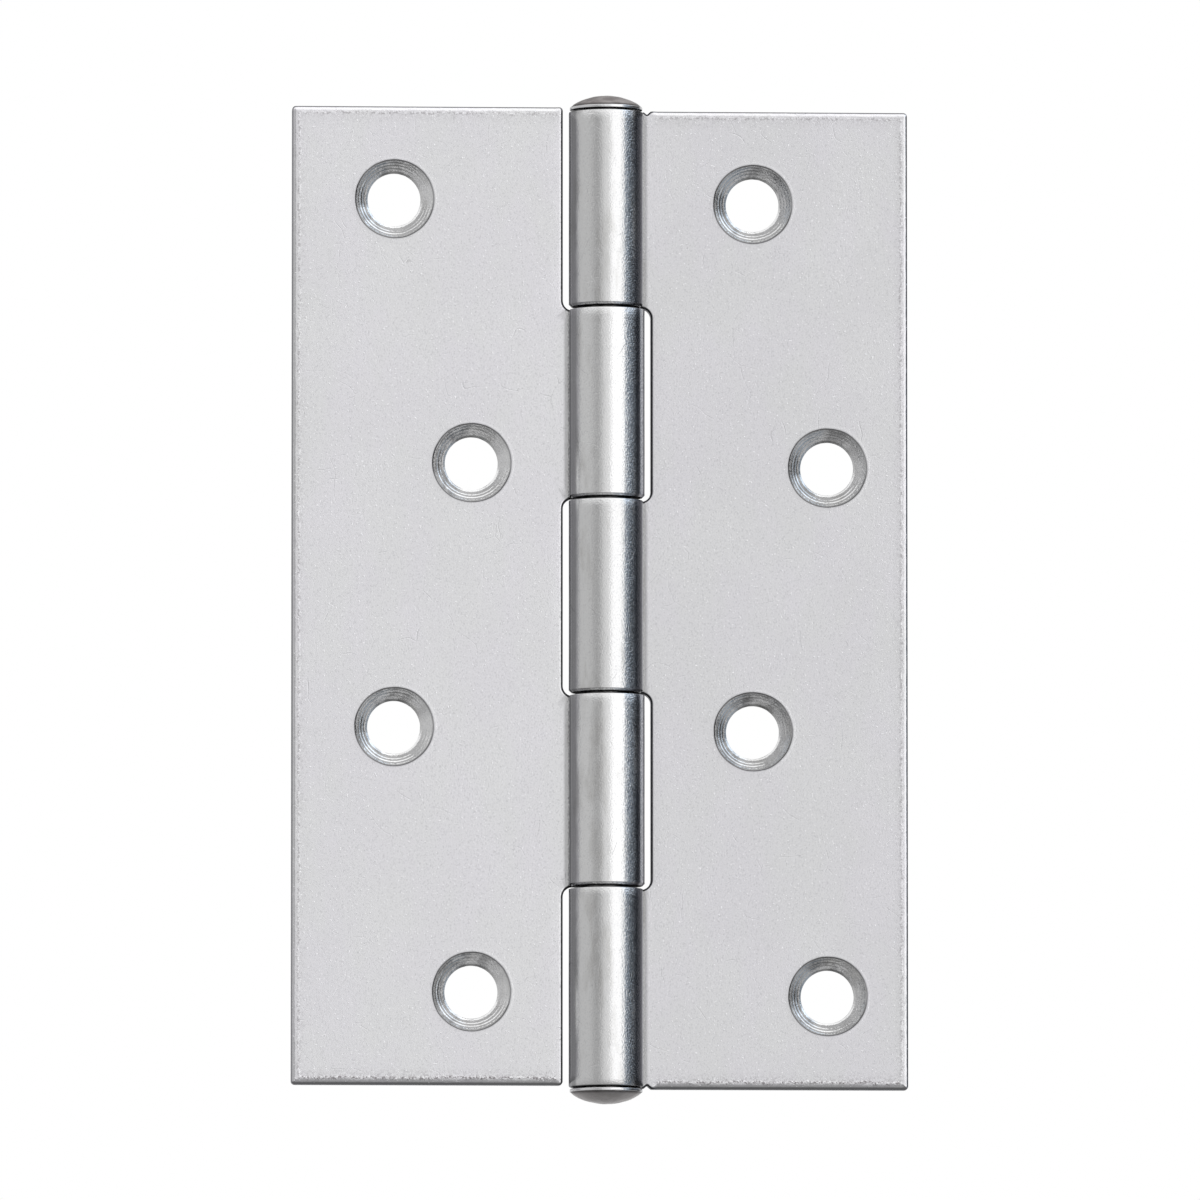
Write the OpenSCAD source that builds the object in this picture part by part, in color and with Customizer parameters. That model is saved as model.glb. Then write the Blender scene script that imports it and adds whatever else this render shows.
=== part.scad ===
// Pressed steel butt hinge: two leaves whose edges are rolled into five knuckles round one riveted pin.
// +Z runs up along the pin, +X across to the right leaf, and the countersunk faces look towards -Y.
// The origin is on the pin's axis, at mid-height of the right leaf.

/* [Leaves] */
// Height of each leaf, along the pin
leaf_h = 100; // [92:1:110]
// Reach of the left leaf, from the pin's axis to its free edge
left_leaf_w = 32; // [28:0.05:36]
// Reach of the right leaf, from the pin's axis to its free edge
right_leaf_w = 30.85; // [28:0.05:36]
// Thickness of the steel sheet
sheet_t = 1.5; // [1.2:0.1:1.7]
// Gap between the two leaves when the hinge is closed
closed_gap = 1.5; // [1.2:0.1:2]
// How much higher the left leaf sits than the right leaf
left_leaf_lift = 0.38; // [0:0.02:0.5]
// Radius of the leaves' outer corners
leaf_corner_r = 0.4; // [0.2:0.1:1.5]

/* [Knuckles] */
// Outer radius of the rolled knuckles
knuckle_r = 3.75; // [3.6:0.05:4.2]
// Gap between the ends of two neighbouring knuckles
knuckle_gap = 0.3; // [0.2:0.05:0.6]
// Height of the first gap from the top, above mid-height
gap_1_z = 29.65; // [28:0.05:31]
// Height of the second gap from the top, above mid-height
gap_2_z = 10.1; // [9:0.05:11]
// Height of the third gap from the top, above mid-height
gap_3_z = -9.8; // [-11:0.05:-9]
// Height of the fourth gap from the top, above mid-height
gap_4_z = -29.55; // [-31:0.05:-28]
// Room between a knuckle and the edge of the notch that it turns in
notch_room = 0.65; // [0.6:0.05:1]
// Radius in the corners of the notches
notch_corner_r = 0.5; // [0.2:0.05:0.5]
// Inner radius of the backward bend between a leaf and its knuckles
neck_r = 2; // [1.8:0.1:2.4]
// Radius of the nick that frees a neck at the leaf's top or bottom end
neck_nick_r = 0.4; // [0.1:0.05:0.5]
// Gap left between the rolled-in end of the sheet and the face of its leaf
curl_end_gap = 0.12; // [0.05:0.01:0.25]

/* [Pin] */
// Radial clearance of the pin in the knuckles
pin_clearance = 0.05; // [0.03:0.01:0.1]
// Radius of the pin's riveted heads
pin_head_r = 3.7; // [3:0.05:4]
// Height of a riveted head, from the knuckle's end to its crown
pin_head_h = 1.45; // [1:0.05:2]
// Height of the straight rim under a head's dome
pin_head_rim_h = 0.3; // [0.2:0.05:0.5]

/* [Screw holes] */
// Diameter of the screw holes
hole_d = 5.4; // [4.6:0.1:5.6]
// Diameter of the countersinks at the face of the leaf
countersink_d = 8.1; // [7.2:0.1:8.1]
// Height from one screw hole to the next
hole_pitch = 27; // [22:0.5:28]
// Distance of the left leaf's outer holes from its free edge
left_outer_inset = 10.44; // [8:0.02:11]
// Distance of the left leaf's inner holes from its free edge
left_inner_inset = 18.34; // [16:0.02:19]
// Distance of the right leaf's outer holes from its free edge
right_outer_inset = 8.2; // [7:0.02:10]
// Distance of the right leaf's inner holes from its free edge
right_inner_inset = 15.8; // [14:0.02:17]

/* [Hidden] */
$fn = 96;
// How far a cutter runs past what it cuts, and how far joined shapes run into each other
cut = 1;
overlap = 0.2;
// The leaves' front, countersunk face and their back face
face_y = closed_gap / 2;
back_y = face_y + sheet_t;
bore_r = knuckle_r - sheet_t;
pin_r = bore_r - pin_clearance;
// Edge of the notches
notch_x = knuckle_r + notch_room;

// The neck is an arc that touches both the flat leaf and the knuckle's ring
neck_centre_y = back_y + neck_r;
neck_centre_x = sqrt(pow(knuckle_r + neck_r, 2) - pow(neck_centre_y, 2));
neck_angle = atan2(neck_centre_y, neck_centre_x);
curl_end_angle = asin((face_y - curl_end_gap) / knuckle_r);

// Ends of the knuckles: [bottom, top], from the top knuckle down
half_gap = knuckle_gap / 2;
right_spans = [
    [gap_1_z + half_gap, leaf_h / 2],
    [gap_3_z + half_gap, gap_2_z - half_gap],
    [-leaf_h / 2, gap_4_z - half_gap]
];
left_spans = [
    [gap_2_z + half_gap, gap_1_z - half_gap],
    [gap_4_z + half_gap, gap_3_z - half_gap]
];

// Each leaf's holes zigzag: [distance from the pin's axis, height above the leaf's own middle]
left_outer_x = left_leaf_w - left_outer_inset;
left_inner_x = left_leaf_w - left_inner_inset;
right_outer_x = right_leaf_w - right_outer_inset;
right_inner_x = right_leaf_w - right_inner_inset;
left_holes = [for (row = [0:3]) [row % 2 == 0 ? left_outer_x : left_inner_x, (1.5 - row) * hole_pitch]];
right_holes = [for (row = [0:3]) [row % 2 == 0 ? right_inner_x : right_outer_x, (1.5 - row) * hole_pitch]];

// Whether a leaf's knuckles all stop short of its top or bottom end
function is_below(spans, top) = spans[0][1] < top;
function is_above(spans, bottom) = spans[len(spans) - 1][0] > bottom;

// Flat triangle with one corner at the origin, between two directions
module wedge(from_angle, to_angle) {
    reach = 2 * knuckle_r;
    polygon([
        [0, 0],
        [reach * cos(from_angle), reach * sin(from_angle)],
        [reach * cos(to_angle), reach * sin(to_angle)]
    ]);
}

module ring(outer, inner) {
    difference() {
        circle(outer);
        circle(inner);
    }
}

// Section through a knuckle of a leaf on the +X side: its curl, its neck and the start of the flat
module knuckle_section() {
    difference() {
        ring(knuckle_r, bore_r);
        wedge(curl_end_angle, neck_angle);
    }
    translate([neck_centre_x, neck_centre_y])
        intersection() {
            ring(neck_r + sheet_t, neck_r);
            wedge(180 + neck_angle, 270);
        }
    translate([neck_centre_x, face_y]) square([notch_x + overlap - neck_centre_x, sheet_t]);
}

// Cutter that rounds an outer corner of a leaf; the corner is at the origin, the leaf at -X and -Y
module corner_cut() {
    difference() {
        translate([-leaf_corner_r, -leaf_corner_r]) square(leaf_corner_r + cut);
        translate([-leaf_corner_r, -leaf_corner_r]) circle(leaf_corner_r);
    }
}

// Metal that rounds an inner corner of a notch; the corner is at the origin, the notch at -X and +Y
module notch_fillet() {
    difference() {
        translate([-notch_corner_r, -overlap]) square(notch_corner_r + overlap);
        translate([-notch_corner_r, notch_corner_r]) circle(notch_corner_r);
    }
}

// Outline of a leaf's flat, drawn as distance from the pin's axis and height
module flat_outline(reach, middle, spans) {
    top = middle + leaf_h / 2;
    bottom = middle - leaf_h / 2;
    difference() {
        translate([notch_x, bottom]) square([reach - notch_x, leaf_h]);
        translate([reach, top]) corner_cut();
        translate([reach, bottom]) mirror([0, 1]) corner_cut();
        if (is_below(spans, top)) translate([notch_x, top]) mirror([1, 0]) corner_cut();
        if (is_above(spans, bottom)) translate([notch_x, bottom]) rotate(180) corner_cut();
    }
    for (span = spans) {
        if (span[1] < top) translate([notch_x, span[1]]) notch_fillet();
        if (span[0] > bottom) translate([notch_x, span[0]]) mirror([0, 1]) notch_fillet();
    }
}

// Cutter for one countersunk hole that goes through a leaf along Y
module screw_hole() {
    rotate([-90, 0, 0]) {
        cylinder(h = back_y + cut, d = hole_d);
        cylinder(h = face_y + (countersink_d - hole_d) / 2, d1 = countersink_d + 2 * face_y, d2 = hole_d);
    }
}

// Cutter for the nick in the neck of a knuckle that reaches the leaf's top or bottom end
module neck_nick() {
    rotate([-90, 0, 0]) cylinder(h = back_y + cut, r = neck_nick_r);
}

// A whole leaf on the +X side, with the holes of its zigzag
module leaf(reach, middle, spans, holes) {
    difference() {
        union() {
            translate([0, back_y, 0])
                rotate([90, 0, 0]) linear_extrude(sheet_t) flat_outline(reach, middle, spans);
            for (span = spans)
                translate([0, 0, span[0]]) linear_extrude(span[1] - span[0]) knuckle_section();
        }
        for (hole = holes) translate([hole[0], 0, middle + hole[1]]) screw_hole();
        for (end = [-1, 1])
            translate([(knuckle_r + notch_x) / 2, face_y - curl_end_gap / 2, middle + end * leaf_h / 2])
                neck_nick();
    }
}

module left_leaf() {
    color([0.78, 0.79, 0.8]) mirror([1, 0, 0]) leaf(left_leaf_w, left_leaf_lift, left_spans, left_holes);
}

module right_leaf() {
    color([0.8, 0.81, 0.82]) leaf(right_leaf_w, 0, right_spans, right_holes);
}

// Riveted head standing on the end of a knuckle, its crown towards +Z
module pin_head() {
    dome_h = pin_head_h - pin_head_rim_h;
    dome_r = (pow(pin_head_r, 2) + pow(dome_h, 2)) / (2 * dome_h);
    cylinder(h = pin_head_rim_h, r = pin_head_r);
    intersection() {
        translate([0, 0, pin_head_h - dome_r]) sphere(dome_r);
        cylinder(h = pin_head_h + cut, r = pin_head_r);
    }
}

module hinge_pin() {
    color([0.55, 0.53, 0.52]) {
        translate([0, 0, -leaf_h / 2]) cylinder(h = leaf_h, r = pin_r);
        for (end = [0, 1]) mirror([0, 0, end]) translate([0, 0, leaf_h / 2]) pin_head();
    }
}

left_leaf();
right_leaf();
hinge_pin();
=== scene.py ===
"""Looks of a pressed steel butt hinge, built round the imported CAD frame.

Each leaf is made the way the real one is: a flat blank is cut out, countersunk and given its
rolled-over edges, and is then bent back at the necks and curled round the pin.
Lengths are in millimetres until a mesh is made, and the frame is in metres.
"""
import math
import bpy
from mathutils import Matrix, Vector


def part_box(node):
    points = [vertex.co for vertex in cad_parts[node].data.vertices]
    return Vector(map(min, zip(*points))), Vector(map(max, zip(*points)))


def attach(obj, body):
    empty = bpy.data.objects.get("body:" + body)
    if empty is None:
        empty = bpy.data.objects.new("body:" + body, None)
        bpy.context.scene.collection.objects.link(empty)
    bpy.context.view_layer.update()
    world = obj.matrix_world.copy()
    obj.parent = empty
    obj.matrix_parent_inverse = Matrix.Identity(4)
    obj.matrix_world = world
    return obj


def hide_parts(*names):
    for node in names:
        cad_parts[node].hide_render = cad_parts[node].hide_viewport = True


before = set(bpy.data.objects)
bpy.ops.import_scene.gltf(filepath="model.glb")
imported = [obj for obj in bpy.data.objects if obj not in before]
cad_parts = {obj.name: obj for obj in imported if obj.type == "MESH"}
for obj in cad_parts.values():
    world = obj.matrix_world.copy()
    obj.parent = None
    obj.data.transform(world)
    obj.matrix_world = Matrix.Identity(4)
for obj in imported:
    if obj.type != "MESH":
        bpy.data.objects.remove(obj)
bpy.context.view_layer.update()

from types import SimpleNamespace

import bpy
import numpy as np
from mathutils import Vector, kdtree, noise
from mathutils.geometry import delaunay_2d_cdt

MM = 0.001


def node_box(node):
    """Lowest and highest corners of a CAD node, in millimetres."""
    low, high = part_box(node)
    return [v / MM for v in low], [v / MM for v in high]


LEFT_LOW, LEFT_HIGH = node_box("left_leaf")
RIGHT_LOW, RIGHT_HIGH = node_box("right_leaf")
PIN_TOP = node_box("hinge_pin")[1][2]

# Sheet, knuckles and necks
KNUCKLE_R = -RIGHT_LOW[1]
SHEET_T = 1.5
BORE_R = KNUCKLE_R - SHEET_T
FACE_Y = 0.75
BACK_Y = FACE_Y + SHEET_T
NOTCH_X = KNUCKLE_R + 0.65
NECK_R = 2.0
CURL_END_GAP = 0.12
KNUCKLE_GAP = 0.3
GAP_HEIGHTS = (29.65, 10.1, -9.8, -29.55)
# The end knuckles stop a little short of the leaf's top and bottom
END_INSET = 0.27
LOW_END_INSET = 0.12

# Screw holes
HOLE_R = 2.7
COUNTERSINK_R = 4.05
HOLE_PITCH = 27.0
LEFT_INSETS = (10.44, 18.34)
RIGHT_INSETS = (15.8, 8.2)

# The neck bends about a centre behind the leaf and touches the curl's ring
CURL_MID_R = BORE_R + SHEET_T / 2
NECK_MID_R = NECK_R + SHEET_T / 2
NECK_Y = BACK_Y + NECK_R
NECK_X = math.sqrt((KNUCKLE_R + NECK_R) ** 2 - NECK_Y ** 2)
NECK_ANGLE = math.atan2(NECK_Y, NECK_X)
CURL_END_ANGLE = math.asin((FACE_Y - CURL_END_GAP) / KNUCKLE_R)
NECK_LENGTH = NECK_MID_R * (math.pi / 2 - NECK_ANGLE)
CURL_START = NECK_X - NECK_LENGTH
CURL_END = CURL_START - CURL_MID_R * (2 * math.pi + CURL_END_ANGLE - NECK_ANGLE)

# Outline of the blank; as made, the two leaves' notches aren't quite alike
LEFT_NOTCH_X = NOTCH_X - 0.02
RIGHT_NOTCH_X = NOTCH_X + 0.22
CORNER_R = 0.38
FILLET_R = 1.05
TAB_CORNER_R = 0.25
NICK_DEPTH = 0.36
NICK_INSET = 0.39
# Spacing of the points along the outline
STEP = 0.18

# Rolled-over edge of the blank's front face, narrow in the notches and wide along the bottom
ROLL_WIDTH = 0.42
ROLL_DEPTH = 0.36
BOTTOM_ROLL = 0.78
NOTCH_ROLL = 0.34
NOTCH_FALL = 0.15
# Small break along the back face, and what is added to it at the lower ends of the knuckles
BACK_BREAK = 0.10
KNUCKLE_BREAK = 0.07
LOWER_BREAK = 0.17
# Ragged ridge that the press leaves inside the rolled-over edge, and the width of the marks along it
RIDGE_AWAY = 0.70
RIDGE_HALF = 0.085
RIDGE_HEIGHT = 0.012
MARKS_HALF = 0.16
# Unevenness of the sheared walls and of the faces
WALL_ROUGHNESS = 0.02
WAVINESS = 0.014
# How far each leaf's knuckles have sprung open on their far side
LEFT_SPRING = 0.18
RIGHT_SPRING = 0.06

# Countersinks: two overlaid sets of grooves left by the cutter, deepest on one side
GROOVE_PITCH = 0.27
SECOND_PITCH = 0.41
GROOVE_DEPTH = 0.018
GROOVE_SIDE = math.radians(205)
# A lip pushed up round the rim, the rim's stray and its steep start, and the flatter land by the hole
LIP_HEIGHT = 0.010
RIM_STRAY = 0.035
RIM_STEP = 0.16
LAND_WIDTH = 0.20
LAND_FLATTEN = 0.38
# Sides where the countersinks' grooves are darkened in patches
GROOVE_PATCH_SIDE = math.radians(80)
LOW_GROOVE_PATCH_SIDE = math.radians(214)
GROOVE_PATCH_SHARE = 0.42

# Points of the leaves' meshes: round each hole, and rings at shares of a width or at offsets from a rim
HOLE_POINTS = 120
ROLL_SHARES = (0.05, 0.19, 0.41, 0.69, 1.0)
RIDGE_SHARES = (0.76, 0.88, 1.0, 1.12, 1.25)
WALL_SHARES = (0.3, 0.62, 0.85)
RIM_OFFSETS = (-0.08, -0.04, 0, 0.04, 0.09, 0.16, 0.24, 0.36, 0.6)
BREAK_OFFSETS = (0.04, 0.13, 0.5)

# Pin
PIN_POINTS = 144
DOME_RINGS = 18
ROD_R = BORE_R - 0.05
HEAD_R = 3.7
HEAD_RIM_H = 0.44
# Height of the upper head's seat, just off the knuckle's end, and how much lower the lower head sits
HEAD_SEAT_Z = RIGHT_HIGH[2] - END_INSET + 0.10
HEAD_DROP = END_INSET - LOW_END_INSET


def smooth(t):
    """Smooth step from 0 to 1."""
    t = np.clip(t, 0.0, 1.0)
    return t * t * (3 - 2 * t)


def wave(x, y, seed, scale):
    """Smooth noise from -1 to 1 at a point of the blank, with features about scale mm wide."""
    return noise.noise(Vector((x / scale + seed * 7.3, y / scale - seed * 3.1, seed * 1.7)))


def waves(points, seed, scale):
    """The same noise at many points."""
    return np.array([wave(x, y, seed, scale) for x, y in points])


# ---------------------------------------------------------------- outline of a blank

def rounded_path(corners):
    """Points along a closed outline. A corner is (s, z, radius), and the path runs counterclockwise."""
    points = []
    count = len(corners)
    ends = []
    for i in range(count):
        here = Vector(corners[i][:2])
        back = (Vector(corners[i - 1][:2]) - here).normalized()
        ahead = (Vector(corners[(i + 1) % count][:2]) - here).normalized()
        radius = corners[i][2]
        half = back.angle(ahead) / 2
        cut = radius / math.tan(half)
        centre = here + (back + ahead).normalized() * radius / math.sin(half)
        ends.append((here + back * cut, here + ahead * cut, centre, radius))
    for i in range(count):
        start, end, centre, radius = ends[i]
        a0 = math.atan2(*(start - centre).yx)
        turn = math.atan2(*(end - centre).yx) - a0
        turn = (turn + math.pi) % (2 * math.pi) - math.pi
        pieces = max(3, math.ceil(abs(turn) * radius / min(STEP, radius * 0.35)))
        for k in range(pieces + 1):
            a = a0 + turn * k / pieces
            points.append((centre.x + radius * math.cos(a), centre.y + radius * math.sin(a)))
        following = ends[(i + 1) % count][0]
        pieces = max(1, round((following - end).length / STEP))
        for k in range(1, pieces):
            p = end.lerp(following, k / pieces)
            points.append((p.x, p.y))
    return np.array(points)


def blank_corners(reach, bottom, top, spans, notch_x):
    """Corners of a blank: the leaf's flat, and a tab at each span that will be rolled into a knuckle."""
    corners = [(reach, bottom, CORNER_R), (reach, top, CORNER_R), (notch_x, top, CORNER_R)]
    for low, high in spans:
        if high > top - KNUCKLE_GAP:
            corners += nick(top, -1, notch_x)
        else:
            corners.append((notch_x, high, FILLET_R))
        corners += [(CURL_END, high, TAB_CORNER_R), (CURL_END, low, TAB_CORNER_R)]
        if low < bottom + KNUCKLE_GAP:
            corners += nick(bottom, 1, notch_x)[::-1]
        else:
            corners.append((notch_x, low, FILLET_R))
    return corners + [(notch_x, bottom, CORNER_R)]


def nick(edge, into, notch_x):
    """V-shaped relief at a blank's end, between the leaf's corner and its first or last tab."""
    valley = (notch_x - NICK_INSET, edge + NICK_DEPTH * into, 0.08)
    inset = END_INSET if into < 0 else LOW_END_INSET
    shoulder = (KNUCKLE_R + 0.15, edge + 0.08 * into, 0.2)
    return [valley, shoulder, (KNUCKLE_R - 0.4, edge + inset * into, 0.3)]


def inward(points):
    """Unit normals that point into the blank."""
    along = np.roll(points, -1, axis=0) - np.roll(points, 1, axis=0)
    along /= np.linalg.norm(along, axis=1)[:, None]
    return np.stack([-along[:, 1], along[:, 0]], axis=1)


def tree_of(points):
    """Search tree over points of the blank."""
    tree = kdtree.KDTree(len(points))
    for i, (x, y) in enumerate(points):
        tree.insert((x, y, 0), i)
    tree.balance()
    return tree


def nearest(tree, points):
    """Index of, and distance to, the outline point nearest to each point."""
    found = [tree.find((x, y, 0)) for x, y in points]
    return np.array([f[1] for f in found]), np.array([f[2] for f in found])


# ---------------------------------------------------------------- the blank of one leaf

class Blank:
    """A flat blank: its outline, its holes, and how its edge is finished at each outline point.

    The blank of the left leaf is made on the +X side too, and side is then -1 instead of 1.
    """

    def __init__(self, side, reach, bottom, top, spans, holes, notch_x, spring, seed):
        self.side = side
        self.reach, self.bottom, self.top = reach, bottom, top
        self.spans, self.holes, self.seed = spans, holes, seed
        self.notch_x, self.spring = notch_x, spring
        self.outline = rounded_path(blank_corners(reach, bottom, top, spans, notch_x))
        self.normals = inward(self.outline)
        self.tree = tree_of(self.outline)
        self.flatness = smooth((self.outline[:, 0] - 2.6) / 1.6)
        outer = smooth((self.outline[:, 0] - notch_x - 0.1) / 0.6)
        lower = smooth((self.normals[:, 1] - 0.5) / 0.4)
        self.lower_edge = lower * outer
        self.free_edge = smooth((-self.normals[:, 0] - 0.5) / 0.4) * outer
        self.finish_front(outer, lower)
        self.finish_back(lower)

    def finish_front(self, outer, lower):
        """Width and depth of the rolled-over edge, and the ridge and the band of marks inside it."""
        seed = self.seed
        ragged = 1 + waves(self.outline, seed, 0.9) * 0.16 + waves(self.outline, seed + 1, 0.3) * 0.14
        width = ROLL_WIDTH + (BOTTOM_ROLL - ROLL_WIDTH) * lower
        self.roll = NOTCH_ROLL + (width * ragged - NOTCH_ROLL) * outer
        self.roll *= 1 - 0.3 * self.free_edge * (self.side > 0)
        self.fall = NOTCH_FALL + (ROLL_DEPTH - NOTCH_FALL) * outer
        stray = waves(self.outline, seed + 2, 0.7) * 0.13 + waves(self.outline, seed + 3, 0.28) * 0.09
        self.ridge_away = RIDGE_AWAY + stray
        self.ridge = outer * smooth(0.45 + 1.3 * waves(self.outline, seed + 4, 0.5))
        self.band = outer * (0.65 + 0.6 * lower)

    def finish_back(self, lower):
        """Width of the back face's break, which is wider at the lower ends of the upper knuckles."""
        self.lower_end = lower * (1 - self.flatness)
        self.lower_end *= np.where(self.outline[:, 1] < self.bottom + 1, 0.3, 1.0)
        self.cut_back = KNUCKLE_BREAK + (BACK_BREAK - KNUCKLE_BREAK) * self.flatness
        self.cut_back += LOWER_BREAK * self.lower_end

    def rings(self, widths, shares, chosen):
        """Copies of the chosen outline points, set inwards by shares of the rounding's width."""
        kept = []
        for share in shares:
            inset = (widths * share)[chosen]
            points = self.outline[chosen] + self.normals[chosen] * inset[:, None]
            kept.append(points[nearest(self.tree, points)[1] > inset * 0.93])
        return kept

    def hole_rings(self, radii, count):
        """Circles of points round every hole, the outer ones following its slightly uneven rim."""
        angles = np.arange(count) * 2 * math.pi / count
        turn = np.stack([np.cos(angles), np.sin(angles)], axis=1)
        circles = []
        for hole in self.holes:
            for r in radii:
                uneven = self.rim(hole, angles) * smooth((r - 3.3) / 0.6)
                circles.append(np.array(hole) + turn * (r + uneven)[:, None])
        return circles

    def rim(self, hole, angles):
        """How far a countersink's rim strays from its circle."""
        turn = np.stack([np.cos(angles), np.sin(angles)], axis=1) * 2 + np.array(hole)
        broad = waves(turn, self.seed + 5, 1.3) * RIM_STRAY
        return broad + waves(turn, self.seed + 6, 0.4) * RIM_STRAY * 0.6

    def grid(self, spacing, row_spacing, clear, tab_clear, hole_clear):
        """Inner points: even over the flat, and in close columns where the sheet will be bent."""
        flat_s = np.arange(NECK_X + 1.2, self.reach, spacing)
        flat_z = np.arange(self.bottom, self.top, spacing)
        flat = np.stack(np.meshgrid(flat_s, flat_z), axis=-1).reshape(-1, 2)
        flat += (np.random.default_rng(self.seed).random(flat.shape) - 0.5) * spacing * 0.3
        for hole in self.holes:
            flat = flat[np.linalg.norm(flat - np.array(hole), axis=1) > hole_clear]
        index, near = nearest(self.tree, flat)
        within = ((flat - self.outline[index]) * self.normals[index]).sum(axis=1) > 0
        flat = flat[within & (near > clear)]
        parts = [flat]
        neck_columns = [NECK_X + 0.15 + np.arange(8) * 0.06, NECK_X + np.array([0.7, 0.85, 1.0])]
        columns = np.concatenate([np.arange(CURL_END, NECK_X + 0.1, STEP)] + neck_columns)
        for low, high in self.spans:
            rows = np.linspace(low, high, round((high - low) / row_spacing))[1:-1]
            tab = np.stack(np.meshgrid(columns, rows), axis=-1).reshape(-1, 2)
            index, near = nearest(self.tree, tab)
            within = ((tab - self.outline[index]) * self.normals[index]).sum(axis=1) > 0
            parts.append(tab[within & (near > tab_clear)])
        return parts

    def hole_loop(self, hole):
        """Edge of one hole, run clockwise so that the sheet lies on its left, as on the outline."""
        angles = -np.arange(HOLE_POINTS) * 2 * math.pi / HOLE_POINTS
        return np.array(hole) + HOLE_R * np.stack([np.cos(angles), np.sin(angles)], axis=1)

    def loops(self):
        """All edges of the blank: its outline, then its holes."""
        return [self.outline] + [self.hole_loop(hole) for hole in self.holes]

    def face(self, inner):
        """Points and triangles that fill the sheet between the outline and the holes' edges."""
        points = np.concatenate(self.loops() + inner)
        edges = []
        start = 0
        for loop in self.loops():
            n = len(loop)
            edges += [(start + i, start + (i + 1) % n) for i in range(n)]
            start += n
        made = delaunay_2d_cdt([Vector(p) for p in points], edges, [], 1, 1e-6)
        corners = np.array([tuple(v) for v in made[0]])
        faces = np.array(made[2])
        centres = corners[faces].mean(axis=1)
        keep = np.ones(len(faces), bool)
        for hole in self.holes:
            keep &= np.linalg.norm(centres - np.array(hole), axis=1) > HOLE_R * 1.001
        new_index = np.full(len(points), -1)
        for i, sources in enumerate(made[3]):
            new_index[sources] = i
        return corners, faces[keep], new_index[:start]

    def front_depth(self, points):
        """How far the front face lies below the flat at each point."""
        index, near = nearest(self.tree, points)
        depth = rounding(near, self.roll[index], self.fall[index])
        depth -= self.ridge_line(index, near) * RIDGE_HEIGHT
        depth += waves(points, self.seed + 8, 9.0) * WAVINESS
        for hole in self.holes:
            away = points - np.array(hole)
            r = np.linalg.norm(away, axis=1)
            close = r < COUNTERSINK_R + 0.9
            angle = np.arctan2(away[close, 1], away[close, 0])
            depth[close] += self.countersink(hole, r[close], angle)
        return depth

    def ridge_line(self, index, near):
        """Strength of the ragged ridge that the press leaves just inside the rolled-over edge."""
        return self.ridge[index] * np.exp(-((near - self.ridge_away[index]) / RIDGE_HALF) ** 2)

    def rim_near(self, hole, away, r):
        """The rim's stray in the direction of each point, worked out only close to the rim."""
        stray = np.zeros(len(r))
        close = np.abs(r - COUNTERSINK_R) < 0.5
        stray[close] = self.rim(hole, np.arctan2(away[close, 1], away[close, 0]))
        return stray

    def countersink(self, hole, r, angle):
        """Depth of a countersink: its cone, the cutter's grooves and chatter, and a low lip round it."""
        rim = COUNTERSINK_R + self.rim(hole, angle)
        cone = np.maximum(rim - r, 0) + RIM_STEP * smooth((rim - r) / 0.11)
        cone -= LAND_FLATTEN * np.maximum(HOLE_R + LAND_WIDTH - r, 0)
        where = np.stack([np.cos(angle), np.sin(angle)], axis=1) * 2 + np.array(hole)
        turn = angle if self.side > 0 else math.pi - angle
        side = smooth(0.5 + 0.55 * np.cos(turn - GROOVE_SIDE) + waves(where, self.seed + 9, 1.5) * 0.5)
        drift = waves(where, self.seed + 10, 2.2) * 1.3
        groove = np.sin(2 * math.pi * r / GROOVE_PITCH + drift)
        groove += 0.6 * np.sin(2 * math.pi * r / SECOND_PITCH + 2)
        inside = smooth((rim - r - 0.1) / 0.12) * smooth((r - HOLE_R - LAND_WIDTH) / 0.12)
        cut = groove * inside * (GROOVE_DEPTH * 0.12 + GROOVE_DEPTH * side)
        lip = -LIP_HEIGHT * np.exp(-((r - rim - 0.12) / 0.11) ** 2)
        lip -= LIP_HEIGHT * 0.5 * np.exp(-((r - rim) / 0.05) ** 2)
        return cone + cut + lip

    def front_wear_and_shade(self, points):
        """A darker bore; painted shade beside the neck, along the edges and round the countersinks' rims;
        darker patches in their grooves; the ragged marks along the edges, and the bent share.
        """
        s = points[:, 0]
        index, near = nearest(self.tree, points)
        # A darker bore, and painted shade beside the neck on this leaf's tabs
        bore = smooth((3.2 - s) / 1.6) * 0.85
        beside = 0.41 * smooth((NECK_X + 0.53 - s) / 0.36)
        inner = smooth((self.notch_x + 0.6 - s) / 0.6)
        # Painted shade along the edges, strongest in the notches and kept off the right leaf's free edge
        wide = 0.14 + 0.07 * inner + 0.17 * self.lower_edge[index]
        edge = smooth((wide - near) / 0.07) * (0.62 + 0.36 * inner - 0.17 * self.lower_edge[index])
        edge *= 1 - 0.85 * self.free_edge[index] * (self.side > 0)
        grime_and_shade = np.maximum(np.maximum(bore, beside * self.on_tab(points)), edge)
        sunk = np.zeros(len(points))
        for hole in self.holes:
            away = points - np.array(hole)
            r = np.linalg.norm(away, axis=1)
            rim = COUNTERSINK_R + self.rim_near(hole, away, r)
            # Painted shade: a dark line just inside each countersink's rim
            line = np.exp(-((r - rim + 0.04) / 0.09) ** 2) * 0.52
            grime_and_shade = np.maximum(np.maximum(grime_and_shade, line), self.groove_patches(hole, away, r, rim))
            sunk = np.maximum(sunk, smooth((rim - r) / 0.1) * 0.4)
        bent = np.maximum(smooth((NECK_X + 0.4 - s) / 0.8), sunk)
        band = self.band[index] * np.exp(-((near - self.ridge_away[index]) / MARKS_HALF) ** 2)
        return np.column_stack([grime_and_shade, band, bent, bore])

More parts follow.
